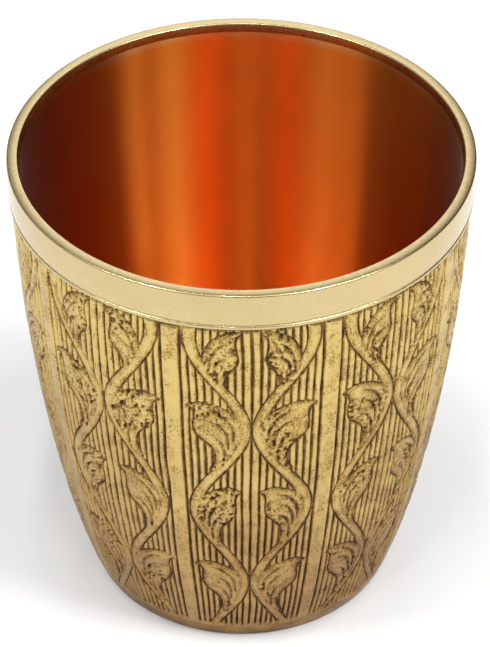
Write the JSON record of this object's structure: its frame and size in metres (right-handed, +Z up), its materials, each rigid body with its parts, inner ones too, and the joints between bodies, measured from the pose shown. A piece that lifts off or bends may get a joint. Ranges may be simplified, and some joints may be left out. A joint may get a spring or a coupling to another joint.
{
  "type": "drinking tumbler",
  "caption": "Tapered metal drinking tumbler: a copper cup inside an embossed brass sleeve, capped by a plain turned band and standing on a turned foot ring.",
  "frame": {"origin": "centre of the foot, on the surface that the tumbler stands on", "axes": "+Z up along the tumbler's axis, out of the mouth; -Y towards the viewer"},
  "size_m": [0.076, 0.076, 0.085],
  "materials": {
    "copper": "polished spun copper with fine rings",
    "base_brass": "turned brass, lightly tarnished",
    "foot_brass": "turned brass, satin",
    "aged_brass": "cast brass relief with dark patina in its recesses",
    "polished_brass": "polished brass",
    "solder": "dull soft solder"
  },
  "bodies": {
    "root": {"copper_liner": "copper", "base_disc": "base_brass", "foot_ring": "foot_brass", "base_solder": "solder", "embossed_sleeve": "aged_brass", "rim_solder": "solder", "rim_band": "polished_brass"}
  },
  "joints": []
}
